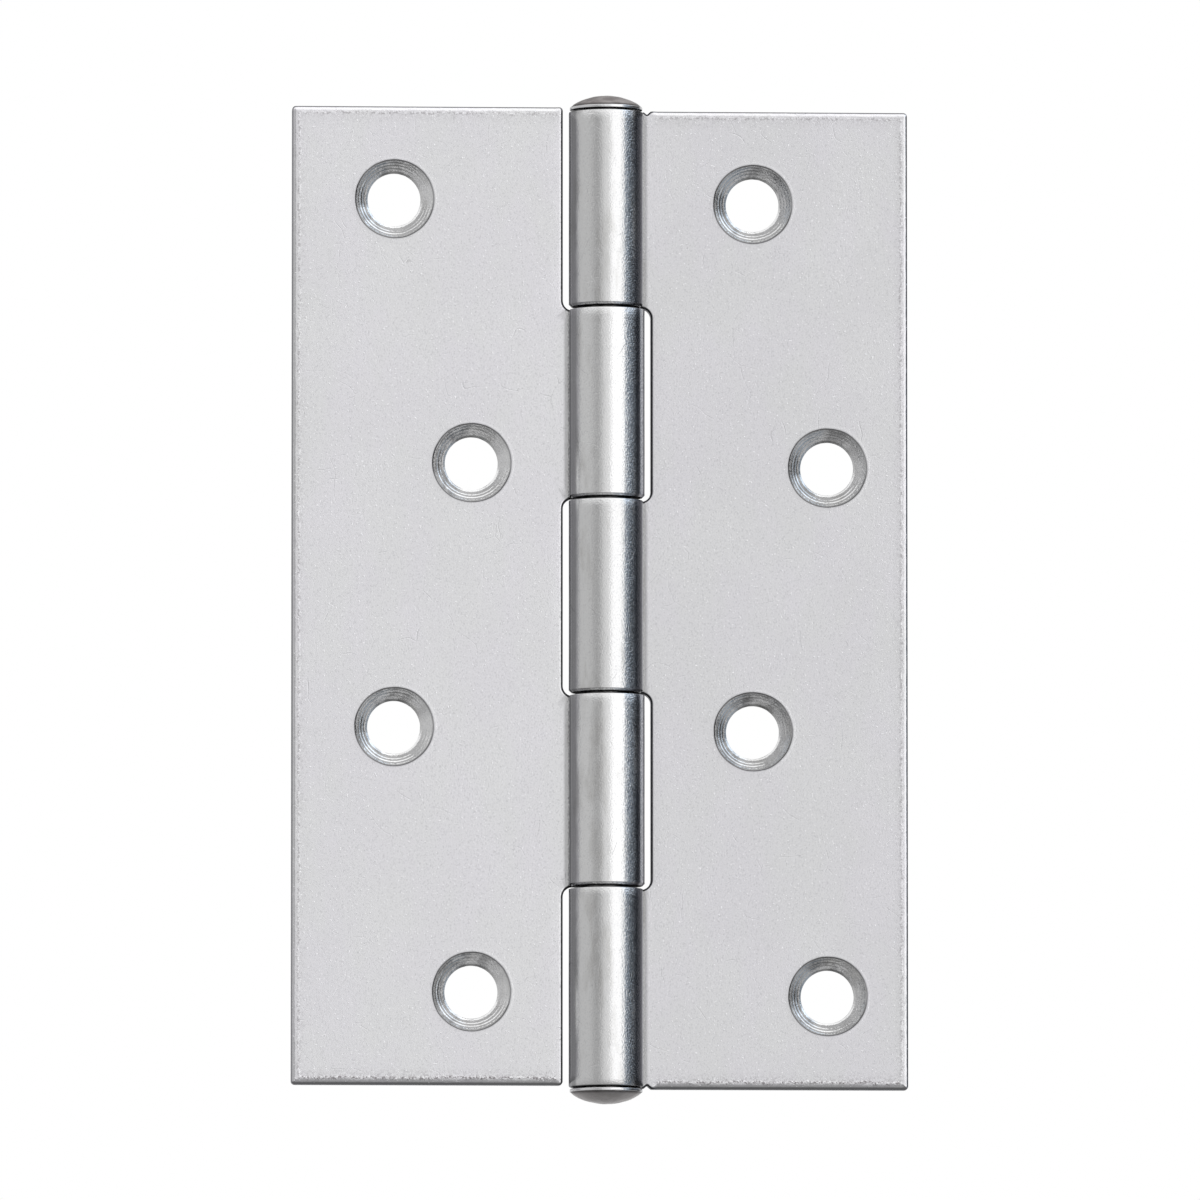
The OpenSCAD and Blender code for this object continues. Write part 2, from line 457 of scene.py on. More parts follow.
    def groove_patches(self, hole, away, r, rim):
        """Darker patches in the grooves of a countersink, on its upper side and low on its left."""
        share = np.zeros(len(r))
        close = r < COUNTERSINK_R + 0.3
        angle = np.arctan2(away[close, 1], away[close, 0])
        turn = angle if self.side > 0 else math.pi - angle
        upper = smooth((np.cos(angle - GROOVE_PATCH_SIDE) - 0.55) / 0.4)
        lower = smooth((np.cos(turn - LOW_GROOVE_PATCH_SIDE) - 0.80) / 0.15)
        where = np.stack([angle * 3.4, r[close]], axis=1) + np.array(hole)
        patches = 0.5 + 1.1 * waves(where, self.seed + 14, 1.1) + 0.5 * waves(where, self.seed + 15, 0.3)
        inside = smooth((rim[close] - r[close]) / 0.1)
        share[close] = GROOVE_PATCH_SHARE * np.maximum(upper, lower) * smooth(patches) * inside
        return share

    def back_shade_and_wear(self, points):
        """Painted shade on the knuckles' flanks, down in the corner between knuckle and leaf, with a
        painted glint in it on the left leaf, and a painted dark line along the back face's edges.
        """
        place = bend(points, np.full(len(points), SHEET_T), self.spring)
        around = np.degrees(np.arctan2(np.abs(place[:, 0]), -place[:, 1]))
        curled = smooth((CURL_START + 0.3 - points[:, 0]) / 0.3)
        ragged = waves(place[:, ::2] * 0.8, self.seed + 30, 0.8) * 3
        shaded = place[:, 0] * self.side > 0
        # Painted shade on the flanks: a band on the left flank, and deep shade over the right flank
        flank = 0.50 * smooth((around + ragged - 53) / 6) * smooth((74 - around) / 4)
        flank = np.maximum(flank, 0.6 * smooth((around - 73) / 4))
        # Painted glint: a lighter strip in the right flank's shade, on the left leaf's knuckles
        glint = smooth((around - 58) / 4) * smooth((74.5 - around) / 3) * (self.side < 0)
        dark = smooth((around + ragged * 0.7 - 43.2) / 9) * (0.86 + 0.08 * smooth((around - 56) / 8))
        dark *= (1 - 0.9 * glint) * np.where(self.side > 0, smooth((80 - around) / 6), 1.0)
        flank = np.where(shaded, dark, flank)
        flank *= curled * smooth((100 - around) / 14)
        index, near = nearest(self.tree, points)
        # Painted shade: a dark line along the back face's edges, left off at the knuckles' lower ends
        edge = smooth((0.1 - near) / 0.1) * 0.4
        edge *= 1 - self.lower_end[index]
        none = np.zeros(len(points))
        coarse = 0.4 + 0.6 * smooth((place[:, 0] * self.side - 1.4) / 0.5)
        return np.column_stack([np.maximum(flank, edge), none, curled * coarse, none])

    def wall_wear_and_shade(self, points):
        """Darker sheared edges: their own dark, with painted shade added on the knuckles' ends in the gaps
        between the knuckles.
        """
        curled = smooth((NECK_X + 0.6 - points[:, 0]) / 0.8)
        return np.column_stack([0.62 + 0.32 * curled, np.zeros(len(points)), curled, 0.4 + 0.6 * curled])

    def on_tab(self, points):
        """1 beside the knuckles of this leaf, 0 beside its notches."""
        inside = [(points[:, 1] > low - 0.3) & (points[:, 1] < high + 0.3) for low, high in self.spans]
        return np.any(inside, axis=0).astype(float)

    def back_depth(self, points):
        """How far the back face lies below the sheet's full thickness at each point."""
        index, near = nearest(self.tree, points)
        depth = rounding(near, self.cut_back[index], self.cut_back[index])
        chamfer = np.maximum(self.cut_back[index] - near, 0)
        depth += (chamfer - depth) * self.lower_end[index]
        uneven = waves(points, self.seed + 12, 7.0) + waves(points, self.seed + 13, 1.3) * 0.08
        depth += uneven * WAVINESS
        for hole in self.holes:
            r = np.linalg.norm(points - np.array(hole), axis=1)
            depth += rounding(np.maximum(r - HOLE_R, 0), 0.12, 0.08) * (r < COUNTERSINK_R)
        return depth


def rounding(distance, width, depth):
    """Depth of a quarter-round edge below the face, at a distance from the edge."""
    t = np.clip(1 - distance / width, 0, 1)
    return depth * (1 - np.sqrt(np.maximum(1 - t * t, 0)))


def bend(points, height, spring):
    """Bends a flat blank into shape: height is 0 on its front face and SHEET_T on its back face.

    The curl stands out by spring on the side away from its leaf.
    """
    s, z = points[:, 0], points[:, 1]
    a = (NECK_X - s) / NECK_MID_R
    neck_r = NECK_R + SHEET_T - height
    turn = NECK_ANGLE + (CURL_START - s) / CURL_MID_R
    curl_r = BORE_R + height + spring * np.maximum(-np.cos(turn), 0) ** 2
    x = np.where(s >= CURL_START, NECK_X - neck_r * np.sin(a), curl_r * np.cos(turn))
    y = np.where(s >= CURL_START, NECK_Y - neck_r * np.cos(a), curl_r * np.sin(turn))
    x = np.where(s >= NECK_X, s, x)
    y = np.where(s >= NECK_X, FACE_Y + height, y)
    return np.stack([x, y, z], axis=1)


# ---------------------------------------------------------------- meshes

def new_object(name, points, faces, sharp_angle, wear_and_shade):
    """A mesh piece. For the materials, each point carries its shares of darkening (mostly painted shade),
    edge marks, bent and raw.
    """
    mesh = bpy.data.meshes.new(name)
    mesh.from_pydata((points * MM).tolist(), [], faces)
    mesh.update()
    marks = mesh.color_attributes.new("wear_and_shade", "FLOAT_COLOR", "POINT")
    marks.data.foreach_set("color", wear_and_shade.astype(np.float32).ravel())
    mesh.shade_smooth()
    mesh.set_sharp_from_angle(angle=math.radians(sharp_angle))
    piece = bpy.data.objects.new(name, mesh)
    bpy.context.scene.collection.objects.link(piece)
    return piece


def front_points(blank):
    """Inner points of a front face: close rings along its edges and round its holes, and an open grid."""
    flat = blank.flatness > 0.02
    outer = blank.outline[:, 0] > NOTCH_X + 0.3
    cone_radii = np.linspace(HOLE_R, COUNTERSINK_R - 0.12, 28)[1:]
    rim_radii = COUNTERSINK_R + np.array(RIM_OFFSETS)
    inner = blank.rings(blank.roll, ROLL_SHARES, flat)
    inner += blank.rings(blank.ridge_away, RIDGE_SHARES, outer)
    inner += blank.rings(blank.roll, (0.3, 1.0), ~flat)
    inner += blank.hole_rings(np.concatenate([cone_radii, rim_radii]), HOLE_POINTS)
    return inner + blank.grid(0.9, 1.2, 1.2, 0.35, COUNTERSINK_R + 0.95)


def back_points(blank):
    """Inner points of a back face, which needs close rings only along the breaks of its edges."""
    flat = blank.flatness > 0.02
    inner = blank.rings(blank.cut_back, (0.12, 0.4, 1.0), ~flat)
    inner += blank.rings(blank.cut_back, (0.3, 1.0), flat)
    inner += blank.hole_rings(HOLE_R + np.array(BREAK_OFFSETS), HOLE_POINTS)
    return inner + blank.grid(1.6, 1.0, 0.9, 0.5, COUNTERSINK_R)


def wall_rows(blank, loop, top, low):
    """Rows of points down the slightly uneven wall under one loop, between the heights top and low."""
    inwards = inward(loop)
    rows = []
    for share in WALL_SHARES:
        rough = (0.25 + 0.75 * smooth((share - 0.3) * 4)) * WALL_ROUGHNESS
        inset = (waves(loop, blank.seed + 20 + share * 9, 0.5) + 0.6) * rough
        rows.append(bend(loop + inwards * inset[:, None], top + (low - top) * share, blank.spring))
    return rows


def strips(levels):
    """Quads between rows of point numbers that each run once round a loop."""
    faces = []
    for upper, lower in zip(levels, levels[1:]):
        for i in range(len(upper)):
            j = (i + 1) % len(upper)
            faces.append((upper[i], lower[i], lower[j], upper[j]))
    return faces


def leaf_piece(name, blank):
    """One leaf: front and back faces and the walls between them, bent, on the +X or the -X side."""
    front, front_faces, front_loop = blank.face(front_points(blank))
    back, back_faces, back_loop = blank.face(back_points(blank))
    front_height = blank.front_depth(front)
    back_height = SHEET_T - blank.back_depth(back)
    points = [bend(front, front_height, blank.spring), bend(back, back_height, blank.spring)]
    wear_and_shade = [blank.front_wear_and_shade(front), blank.back_shade_and_wear(back)]
    back_start = len(front)
    faces = front_faces.tolist() + (back_faces[:, ::-1] + back_start).tolist()
    made = len(front) + len(back)
    start = 0
    for loop in blank.loops():
        n = len(loop)
        upper, lower = front_loop[start:start + n], back_loop[start:start + n]
        levels = [upper.tolist()]
        for row in wall_rows(blank, loop, front_height[upper], back_height[lower]):
            points.append(row)
            wear_and_shade.append(blank.wall_wear_and_shade(loop))
            levels.append(list(range(made, made + n)))
            made += n
        levels.append((lower + back_start).tolist())
        faces += strips(levels)
        start += n
    points = np.concatenate(points)
    if blank.side < 0:
        points[:, 0] *= -1
        faces = [face[::-1] for face in faces]
    faces = [tuple(int(i) for i in face) for face in faces]
    return new_object(name, points, faces, 38, np.concatenate(wear_and_shade))


def pin_profile():
    """Radius and height of the pin's rings, from its middle up to just below the upper head's crown."""
    seat = HEAD_SEAT_Z
    rim_top = seat + HEAD_RIM_H
    profile = [(ROD_R, 0.0), (ROD_R, seat - 0.35), (ROD_R, seat + 0.09), (HEAD_R - 0.2, seat + 0.09)]
    profile += [(HEAD_R - 0.06, seat + 0.10), (HEAD_R - 0.01, seat + 0.13), (HEAD_R, seat + 0.16)]
    profile += [(HEAD_R, seat + z) for z in (0.19, 0.27, 0.35, 0.38)]
    profile += [(HEAD_R - 0.03, seat + 0.42), (HEAD_R - 0.08, seat + 0.435), (HEAD_R - 0.14, rim_top)]
    dome_h = PIN_TOP - rim_top - 0.04
    for k in range(DOME_RINGS):
        share = (1 - k / DOME_RINGS) ** 1.3
        profile.append(((HEAD_R - 0.13) * share, rim_top + 0.04 + dome_h * (1 - share ** 2) ** 0.8))
    return profile


def pin_ring(r, z, end):
    """One ring of the pin on its upper (1) or lower (-1) half, dented and spread where it is on a head."""
    share = min(1.0, max(0.0, (z - HEAD_SEAT_Z) / 0.6))
    reach = z + HEAD_DROP * (end < 0)
    ring = []
    for i in range(PIN_POINTS):
        a = 2 * math.pi * i / PIN_POINTS
        x, y = r * math.cos(a), r * math.sin(a)
        dent = wave(x + end * 9, y, 31, 1.5) * 0.05 + wave(x, y + end * 9, 32, 0.6) * 0.022
        swell = 1 + 0.012 * wave(math.cos(a) * 2, math.sin(a) * 2 + end * 5, 33, 0.9) * share
        ring.append((x * swell, y * swell, end * (reach - abs(dent) * share)))
    return ring


def pin_wear_and_shade(points):
    """Painted shade under the heads and in the crease over their rims, a brighter rim and lower head, and
    the raw rod.
    """
    under = points[:, 2] < 0
    height = np.abs(points[:, 2]) - HEAD_SEAT_Z - HEAD_DROP * under
    # Painted shade: a dark crease over each rim, and under each head
    crease = np.exp(-((height - HEAD_RIM_H - 0.02) / 0.04) ** 2) + (height < 0.13)
    bright = np.maximum(smooth((0.43 - height) / 0.03), 0.3 * under)
    return np.column_stack([np.clip(crease, 0, 1) * 0.85, bright, height * 0, height < 0.1])


def pin_piece():
    """The pin: a rod with a low hammered dome riveted over at each end."""
    profile = pin_profile()
    rings = [pin_ring(r, z, 1) for r, z in profile[::-1]] + [pin_ring(r, z, -1) for r, z in profile[1:]]
    crowns = [(0, 0, PIN_TOP - 0.03), (0, 0, -PIN_TOP + 0.03 - HEAD_DROP)]
    points = np.array([point for ring in rings for point in ring] + crowns)
    levels = [range(k * PIN_POINTS, (k + 1) * PIN_POINTS) for k in range(len(rings))]
    faces = strips(levels)
    upper, lower = len(points) - 2, len(points) - 1
    for i in range(PIN_POINTS):
        j = (i + 1) % PIN_POINTS
        faces += [(levels[0][i], levels[0][j], upper), (levels[-1][j], levels[-1][i], lower)]
    return new_object("pin", points, faces, 40, pin_wear_and_shade(points))


def spans_of(edges, top, bottom, first):
    """Spans of every other knuckle, from the top down, starting with the first or the second."""
    tops = [top - END_INSET] + [z - KNUCKLE_GAP / 2 for z in edges]
    bottoms = [z + KNUCKLE_GAP / 2 for z in edges] + [bottom + LOW_END_INSET]
    return [(low, high) for high, low in zip(tops, bottoms)][first::2]


def zigzag(reach, insets, middle):
    """Places of a leaf's four screw holes, from the top down."""
    rows = (1.5, 0.5, -0.5, -1.5)
    return [(reach - insets[i % 2], middle + row * HOLE_PITCH) for i, row in enumerate(rows)]


def left_blank():
    """The left leaf's blank, whose knuckles are the second and the fourth."""
    reach, bottom, top = -LEFT_LOW[0], LEFT_LOW[2], LEFT_HIGH[2]
    holes = zigzag(reach, LEFT_INSETS, (bottom + top) / 2)
    spans = spans_of(GAP_HEIGHTS, top, bottom, 1)
    return Blank(-1, reach, bottom, top, spans, holes, LEFT_NOTCH_X, LEFT_SPRING, 3)


def right_blank():
    """The right leaf's blank, whose knuckles are the first, the third and the fifth."""
    reach, bottom, top = RIGHT_HIGH[0], RIGHT_LOW[2], RIGHT_HIGH[2]
    holes = zigzag(reach, RIGHT_INSETS, 0)
    spans = spans_of(GAP_HEIGHTS, top, bottom, 0)
    return Blank(1, reach, bottom, top, spans, holes, RIGHT_NOTCH_X, RIGHT_SPRING, 17)


left_piece = leaf_piece("pressed_left_leaf", left_blank())
right_piece = leaf_piece("pressed_right_leaf", right_blank())
pin = pin_piece()

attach(left_piece, "left_leaf_body")
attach(right_piece, "right_leaf_body")
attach(pin, "right_leaf_body")
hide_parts("left_leaf")
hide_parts("right_leaf")
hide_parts("hinge_pin")


# ---------------------------------------------------------------- materials

# Colours of the bare metals; the zinc's are multiplied by each leaf's tone
LILAC_ZINC = (0.806, 0.797, 0.828)
PLAIN_ZINC = (0.801, 0.801, 0.814)
SHAPED_ZINC = (0.803, 0.803, 0.805)
LEFT_TONE = 1.01
RIGHT_TONE = 0.955
DARK_STEEL = (0.44, 0.40, 0.395, 1)
PALE_STEEL = (0.62, 0.58, 0.57, 1)
RUBBED_STEEL = (0.80, 0.80, 0.81, 1)
# Colours laid over them
GRAIN_SHADE = (0.42, 0.42, 0.44, 1)
PIT_SHADE = (0.22, 0.24, 0.28, 1)
STREAK_SHADE = (0.5, 0.5, 0.52, 1)
PATCH_SHADE = (0.6, 0.6, 0.62, 1)
STAIN_SHADE = (0.46, 0.45, 0.43, 1)
HAIRLINE_SHADE = (0.3, 0.3, 0.31, 1)
MARK_SHADE = (0.28, 0.26, 0.27, 1)
MARK_LIGHT = (0.99, 0.99, 1.0, 1)
# A painted glint on each speck
SPECK_PAINTED_GLINT = (0.96, 0.96, 0.97, 1)
# Dark for the zinc's darkening: the sheared edges' own dark, and painted shade
ZINC_GRIME_AND_SHADE = (0.04, 0.04, 0.045, 1)
# Painted shade under the pin's heads and over their rims
STEEL_PAINTED_SHADE = (0.05, 0.045, 0.045, 1)
# Tint of the zinc's reflections at a grazing angle
ZINC_GLANCE = (0.65, 0.65, 0.67, 1)
# Height of the reliefs, in metres
ZINC_RELIEF = 0.000024
STEEL_RELIEF = 0.00002


class Nodes:
    """Short calls for building a node tree."""

    def __init__(self, tree):
        self.tree = tree
        tree.nodes.clear()

    def add(self, kind, **inputs):
        node = self.tree.nodes.new("ShaderNode" + kind)
        for name, value in inputs.items():
            self.set(node, name.replace("_", " "), value)
        return node

    def set(self, node, name, value):
        socket = node.inputs[name]
        if isinstance(value, bpy.types.NodeSocket):
            self.tree.links.new(value, socket)
        else:
            socket.default_value = value

    def math(self, operation, a, b=0.0, c=0.0, clamp=False):
        node = self.tree.nodes.new("ShaderNodeMath")
        node.operation = operation
        node.use_clamp = clamp
        for socket, value in zip(node.inputs, (a, b, c)):
            if isinstance(value, bpy.types.NodeSocket):
                self.tree.links.new(value, socket)
            else:
                socket.default_value = value
        return node.outputs[0]

    def noise(self, place, scale, detail=2.0, rough=0.5, stretch=(1, 1, 1), shift=0.0):
        mapping = self.add("Mapping", Vector=place)
        mapping.inputs["Scale"].default_value = stretch
        mapping.inputs["Location"].default_value = (shift, shift * 0.7, shift * 1.3)
        node = self.add("TexNoise", Vector=mapping.outputs[0], Scale=scale, Detail=detail, Roughness=rough)
        return node.outputs["Fac"]

    def between(self, value, low, high, out_low=0.0, out_high=1.0):
        node = self.add("MapRange", Value=value)
        node.interpolation_type = "SMOOTHSTEP"
        ends = {"From Min": low, "From Max": high, "To Min": out_low, "To Max": out_high}
        for name, number in ends.items():
            node.inputs[name].default_value = number
        return node.outputs[0]

    def mix(self, share, a, b):
        node = self.tree.nodes.new("ShaderNodeMix")
        node.data_type = "RGBA"
        for index, value in ((0, share), (6, a), (7, b)):
            if isinstance(value, bpy.types.NodeSocket):
                self.tree.links.new(value, node.inputs[index])
            else:
                node.inputs[index].default_value = value
        return node.outputs[2]


def new_material(name):
    material = bpy.data.materials.new(name)
    material.use_nodes = True
    return material, Nodes(material.node_tree)


def wear_and_shade_shares(n):
    """Shares from a mesh's colour attribute: darkening (mostly painted shade), edge marks, bent and raw.
    """
    wear_and_shade_node = n.add("Attribute")
    wear_and_shade_node.attribute_name = "wear_and_shade"
    parts = n.add("SeparateColor", Color=wear_and_shade_node.outputs["Color"]).outputs
    return SimpleNamespace(grime_and_shade=parts[0], marked=parts[1], bent=parts[2], raw=wear_and_shade_node.outputs["Alpha"])


def zinc_patterns(n, place):
    """Noises that the zinc's colour, roughness and relief share, some of them drawn out along Z."""
    return SimpleNamespace(
        cloud=n.noise(place, 170, 3, 0.6, stretch=(1, 1, 0.5)),
        grain=n.noise(place, 7500, 2, 0.7, stretch=(1, 1, 0.7), shift=1),
        peel=n.noise(place, 7500, 1, 0.5, stretch=(1, 1, 0.85), shift=3),
        streak=n.noise(place, 3000, 2, 0.6, stretch=(1, 1, 0.12), shift=2),
        patch=n.noise(place, 900, 3, 0.6, shift=5),
        uneven=n.between(n.noise(place, 95, 2, 0.5, shift=6), 0.4, 0.62, 0.5, 1.0),
        speck=n.between(n.noise(place, 4200, 1, 0.5, shift=8), 0.68, 0.76),
        stain=n.between(n.noise(place, 420, 3, 0.65, stretch=(1, 1, 0.3), shift=11), 0.50, 0.72, 0, 0.42),
        hairline=scratches(n, place),
        fleck=n.noise(place, 6000, 2, 0.6, shift=9),
    )


def zinc_colour(n, tone, pattern, wear_and_shade, shaped):
    """Zinc that is cloudy on the flats and greyer and pitted where it was shaped, with marks, painted
    glints on the specks, and darkening that is mostly painted shade.
    """
    tints = [tuple(v * tone for v in tint) + (1,) for tint in (LILAC_ZINC, PLAIN_ZINC, SHAPED_ZINC)]
    colour = n.mix(n.between(pattern.cloud, 0.35, 0.65), tints[0], tints[1])
    colour = n.mix(shaped, colour, tints[2])
    grain_share = n.math("MULTIPLY_ADD", shaped, -0.06, 0.40)
    grainy = n.math("MULTIPLY", n.between(pattern.grain, 0.5, 0.25), grain_share)
    colour = n.mix(grainy, colour, GRAIN_SHADE)
    pits = n.between(pattern.peel, 0.60, 0.42, 0, 0.5)
    pitted = n.math("MULTIPLY", n.between(wear_and_shade.bent, 0.72, 0.95), pits)
    colour = n.mix(pitted, colour, PIT_SHADE)
    colour = n.mix(n.between(pattern.streak, 0.5, 0.8, 0, 0.05), colour, STREAK_SHADE)
    colour = n.mix(n.between(pattern.patch, 0.55, 0.8, 0, 0.14), colour, PATCH_SHADE)
    colour = n.mix(n.math("MULTIPLY", pattern.stain, shaped), colour, STAIN_SHADE)
    colour = n.mix(n.math("MULTIPLY", pattern.hairline, 0.3), colour, HAIRLINE_SHADE)
    dark = n.math("MULTIPLY", wear_and_shade.marked, n.between(pattern.fleck, 0.53, 0.42, 0, 0.85))
    colour = n.mix(dark, colour, MARK_SHADE)
    light = n.math("MULTIPLY", wear_and_shade.marked, n.between(pattern.fleck, 0.56, 0.68, 0, 0.2))
    colour = n.mix(light, colour, MARK_LIGHT)
    # Specks: small bumps in the relief, each with a painted glint lightening its colour
    colour = n.mix(n.math("MULTIPLY", pattern.speck, 0.45), colour, SPECK_PAINTED_GLINT)
    # Darkening from the mesh, mostly painted shade
    return n.mix(wear_and_shade.grime_and_shade, colour, ZINC_GRIME_AND_SHADE)


def zinc_roughness(n, pattern, wear_and_shade, shaped):
    """Faint streaks and patches, smoother where the sheet was shaped and rough where it is raw."""
    streaks = n.between(pattern.streak, 0.3, 0.7, 0.14, 0.18)
    rough = n.math("ADD", streaks, n.between(pattern.patch, 0.4, 0.7, -0.02, 0.03))
    rough = n.math("MULTIPLY_ADD", shaped, -0.07, rough)
    return n.math("MULTIPLY_ADD", wear_and_shade.raw, 0.5, rough)


def zinc_relief(n, pattern, wear_and_shade):
    """Normals for the grain, which is strongest where the sheet was bent, and for the small marks."""
    height = n.math("MULTIPLY_ADD", pattern.streak, 0.15, n.math("MULTIPLY", pattern.speck, 0.4))
    height = n.math("MULTIPLY_ADD", pattern.hairline, -0.3, height)
    height = n.math("MULTIPLY_ADD", n.math("MULTIPLY", pattern.grain, 0.5), pattern.uneven, height)
    height = n.math("MULTIPLY_ADD", pattern.peel, n.math("MULTIPLY_ADD", wear_and_shade.bent, 1.5, 0.1), height)
    height = n.math("MULTIPLY_ADD", n.math("MULTIPLY", pattern.fleck, wear_and_shade.marked), 0.7, height)
    return n.add("Bump", Strength=1.0, Distance=ZINC_RELIEF, Height=height).outputs[0]


def zinc_material(name, tone):
    """Bright zinc on rolled steel: fine grain drawn out along Z, hairlines, specks with painted glints,
    and painted shade in the corners.
    """
    material, n = new_material(name)
    wear_and_shade = wear_and_shade_shares(n)
    pattern = zinc_patterns(n, n.add("TexCoord").outputs["Object"])
    shaped = n.math("MULTIPLY", wear_and_shade.bent, 2.5, clamp=True)
    # The specks are only on the flats
    pattern.speck = n.math("MULTIPLY", pattern.speck, n.math("SUBTRACT", 1.0, shaped))
    shader = n.add("BsdfPrincipled", Metallic=1.0, Roughness=zinc_roughness(n, pattern, wear_and_shade, shaped))
    n.set(shader, "Normal", zinc_relief(n, pattern, wear_and_shade))
    n.set(shader, "Specular Tint", ZINC_GLANCE)
    n.set(shader, "Base Color", zinc_colour(n, tone, pattern, wear_and_shade, shaped))
    n.add("OutputMaterial", Surface=shader.outputs[0])
    return material


def scratches(n, place):
    """Faint broken hairlines: short stretches of thin, slightly curved lines that cross each other."""
    bent = n.add("VectorMath")
    bent.operation = "MULTIPLY_ADD"
    wander = n.add("TexNoise", Vector=place, Scale=260, Detail=1).outputs["Color"]
    n.tree.links.new(wander, bent.inputs[0])
    bent.inputs[1].default_value = (0.0022, 0.0022, 0.0022)
    n.tree.links.new(place, bent.inputs[2])
    total = None
    for scale, shift, width in ((190, 0.0, 0.006), (120, 0.31, 0.004)):
        mapping = n.add("Mapping", Vector=bent.outputs[0])
        mapping.inputs["Location"].default_value = (shift, shift, shift)
        cells = n.add("TexVoronoi", Vector=mapping.outputs[0], Scale=scale)
        cells.feature = "DISTANCE_TO_EDGE"
        line = n.between(cells.outputs["Distance"], width, width * 0.3)
        kept = n.between(n.noise(place, 330, 2, 0.5, shift=shift + 4), 0.55, 0.66)
        line = n.math("MULTIPLY", line, kept)
        total = line if total is None else n.math("MAXIMUM", total, line)
    return total


def pin_material():
    """Plain steel, darker and warmer than the plating, with the marks of the riveting hammer."""
    material, n = new_material("pin_steel")
    place = n.add("TexCoord").outputs["Object"]
    wear_and_shade = wear_and_shade_shares(n)
    cloud = n.noise(place, 800, 3, 0.6)
    fine = n.noise(place, 4200, 2, 0.6, shift=3)
    colour = n.mix(n.between(cloud, 0.35, 0.65), DARK_STEEL, PALE_STEEL)
    colour = n.mix(wear_and_shade.marked, colour, RUBBED_STEEL)
    # Painted shade under the heads and over their rims
    colour = n.mix(wear_and_shade.grime_and_shade, colour, STEEL_PAINTED_SHADE)
    rough = n.math("MULTIPLY_ADD", wear_and_shade.marked, -0.15, n.between(cloud, 0.3, 0.7, 0.30, 0.42))
    height = n.math("MULTIPLY_ADD", cloud, 2.0, n.math("MULTIPLY", fine, 0.7))
    bump = n.add("Bump", Strength=0.7, Distance=STEEL_RELIEF, Height=height)
    shader = n.add("BsdfPrincipled", Metallic=1.0, Roughness=rough, Normal=bump.outputs[0])
    n.set(shader, "Base Color", colour)
    n.add("OutputMaterial", Surface=shader.outputs[0])
    return material


left_piece.data.materials.append(zinc_material("zinc_left", LEFT_TONE))
right_piece.data.materials.append(zinc_material("zinc_right", RIGHT_TONE))
pin.data.materials.append(pin_material())


# ---------------------------------------------------------------- studio

# Brightness of the studio behind the hinge, and its changes on the way round to the left, the camera's
# side and the right: start and end in degrees to the right of the camera's side, and what is added
BEHIND = 0.75
AROUND = (
    (-165, -140, -0.10),
    (-135, -92, -0.06),
    (-60, -24, -0.18),
    (-31, 1, 0.43),
    (9.5, 14, 0.47),
    (49, 55, -0.84),
    (56, 69, -0.21),
    (67, 86, -0.20),
    (126, 144, 0.72),
)
# Brightness high up in front and past the zenith, and the share of it on the left and on the right
OVERHEAD = 1.25
OVERHEAD_BACK = 0.56
LAMP_SIDES = (0.85, 1.2)
# Brightness below the hinge, at a shallow and at a steep angle
UNDER = (0.38, 0.22)

# The floor, in metres, and the camera, in millimetres and degrees
FLOOR_Z = -0.20
FLOOR_HALF = 6.0
CAMERA_AWAY = 2000
VIEW_WIDTH = 122.2
CAMERA_AZIMUTH = -3
CAMERA_ELEVATION = -5
CAMERA_TARGET = (-0.62, 0, -0.18)


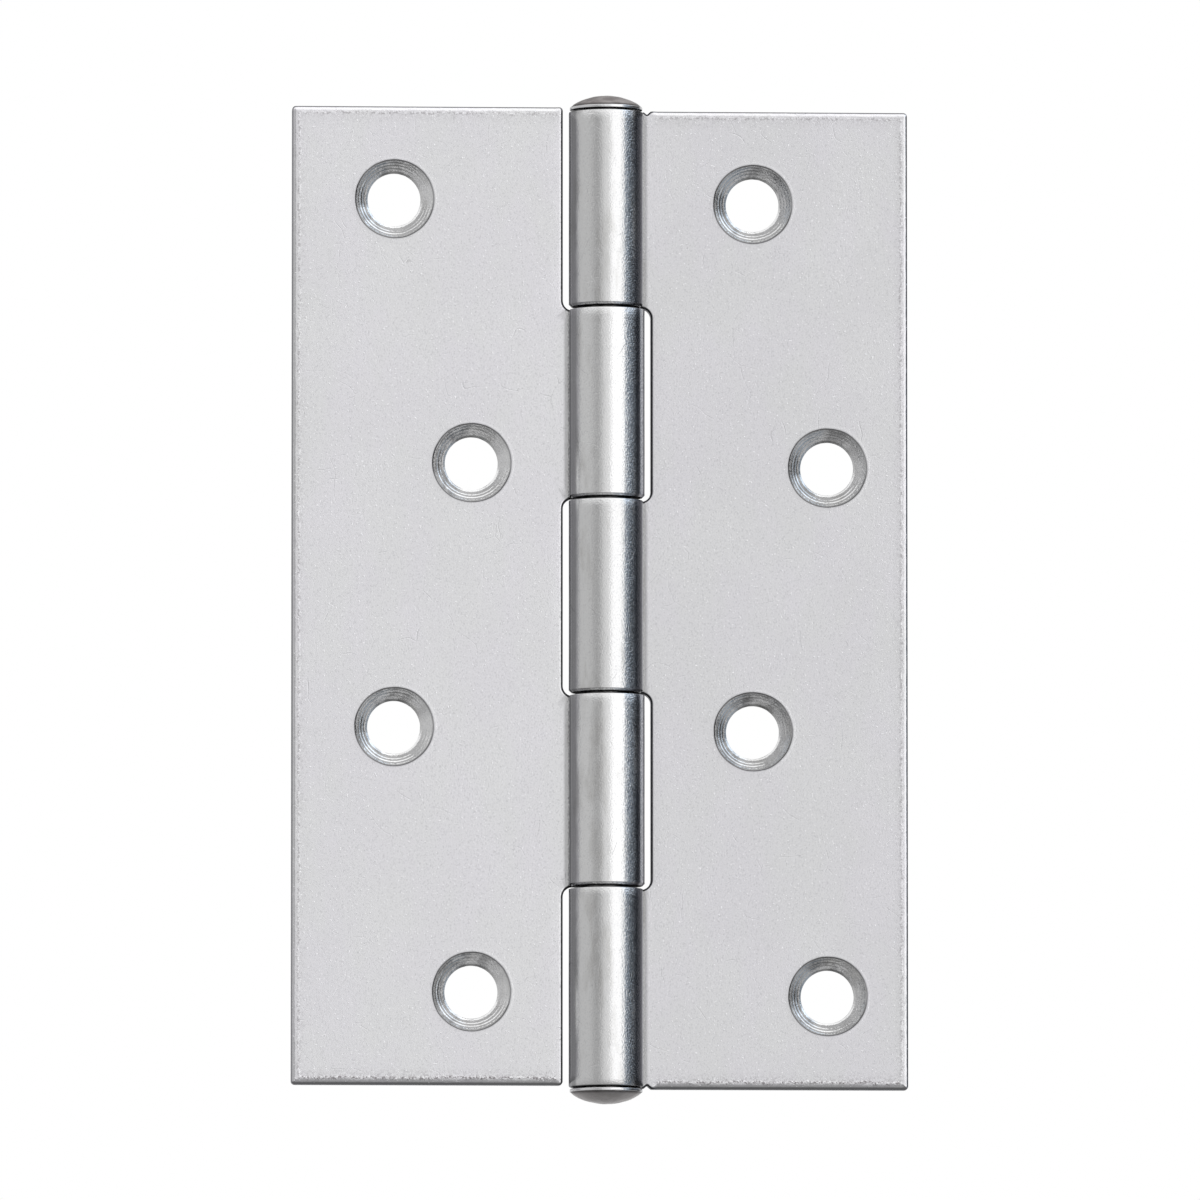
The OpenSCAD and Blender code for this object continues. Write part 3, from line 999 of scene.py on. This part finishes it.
def studio_world():
    """White behind the object, and for reflections a studio with soft lamps and darker sides."""
    world = bpy.data.worlds.new("studio")
    world.use_nodes = True
    n = Nodes(world.node_tree)
    direction = n.add("TexCoord").outputs["Generated"]
    parts = n.add("SeparateXYZ", Vector=direction).outputs
    forward = n.math("MULTIPLY", parts["Y"], -1.0)
    turn = n.math("DEGREES", n.math("ARCTAN2", parts["X"], forward))
    rise = n.math("DEGREES", n.math("ARCSINE", parts["Z"]))
    pitch = n.math("DEGREES", n.math("ARCTAN2", parts["Z"], forward))
    level = BEHIND
    for start, end, change in AROUND:
        level = n.math("ADD", level, n.between(turn, start, end, 0, change))
    overhead = n.between(pitch, 72, 98, OVERHEAD, OVERHEAD_BACK)
    lamp = n.math("MULTIPLY", overhead, n.between(parts["X"], -0.6, 0.6, *LAMP_SIDES))
    lamp = n.math("ADD", lamp, n.between(pitch, 112, 140, 0, -0.2))
    above = n.between(rise, 8, 27)
    under = n.between(rise, -35, -55, *UNDER)
    below = n.between(rise, -6, -30)
    level = blend(n, above, level, lamp)
    level = blend(n, below, level, under)
    cool = n.math("MULTIPLY", n.between(turn, 53, 61), n.between(turn, 93, 80))
    red = n.math("MULTIPLY", level, n.math("MULTIPLY_ADD", cool, -0.14, 1.0))
    blue = n.math("MULTIPLY", level, n.math("MULTIPLY_ADD", cool, 0.16, 1.0))
    tinted = n.add("CombineColor", Red=red, Green=level, Blue=blue).outputs[0]
    seen = n.add("LightPath").outputs["Is Camera Ray"]
    shade = n.mix(seen, tinted, (1, 1, 1, 1))
    strength = n.add("Background", Color=shade, Strength=1.0)
    n.add("OutputWorld", Surface=strength.outputs[0])
    bpy.context.scene.world = world


def blend(n, share, a, b):
    """a where share is 0, b where it is 1."""
    return n.math("MULTIPLY_ADD", n.math("SUBTRACT", b, a), share, a)


def floor_material():
    """Plain and pale, with a faint cloudiness."""
    material, n = new_material("pale_floor")
    place = n.add("TexCoord").outputs["Object"]
    tint = n.mix(n.noise(place, 3, 2), (0.9, 0.9, 0.9, 1), (0.93, 0.93, 0.93, 1))
    shader = n.add("BsdfPrincipled", Roughness=0.9)
    n.set(shader, "Base Color", tint)
    n.add("OutputMaterial", Surface=shader.outputs[0])
    return material


def make_floor():
    """The pale floor. The metal doesn't mirror it, because that would brighten the lower edges."""
    mesh = bpy.data.meshes.new("floor")
    signs = ((-1, -1), (1, -1), (1, 1), (-1, 1))
    corners = [(x * FLOOR_HALF, y * FLOOR_HALF, FLOOR_Z) for x, y in signs]
    mesh.from_pydata(corners, [], [(0, 1, 2, 3)])
    floor = bpy.data.objects.new("floor", mesh)
    bpy.context.scene.collection.objects.link(floor)
    floor.visible_glossy = False
    mesh.materials.append(floor_material())


def make_camera():
    """The photo's view: a long lens in front of the hinge, a little to the left and a little below."""
    data = bpy.data.cameras.new("camera")
    data.sensor_width = 36
    data.lens = data.sensor_width * CAMERA_AWAY / VIEW_WIDTH
    data.clip_start, data.clip_end = 0.05, 50
    camera = bpy.data.objects.new("camera", data)
    bpy.context.scene.collection.objects.link(camera)
    a, e = math.radians(CAMERA_AZIMUTH), math.radians(CAMERA_ELEVATION)
    back = Vector((math.sin(a) * math.cos(e), -math.cos(a) * math.cos(e), math.sin(e)))
    camera.location = (Vector(CAMERA_TARGET) + back * CAMERA_AWAY) * MM
    camera.rotation_mode = "QUATERNION"
    camera.rotation_quaternion = (-back).to_track_quat("-Z", "Y")
    bpy.context.scene.camera = camera


studio_world()
make_floor()
make_camera()
bpy.context.scene.view_settings.view_transform = "Standard"
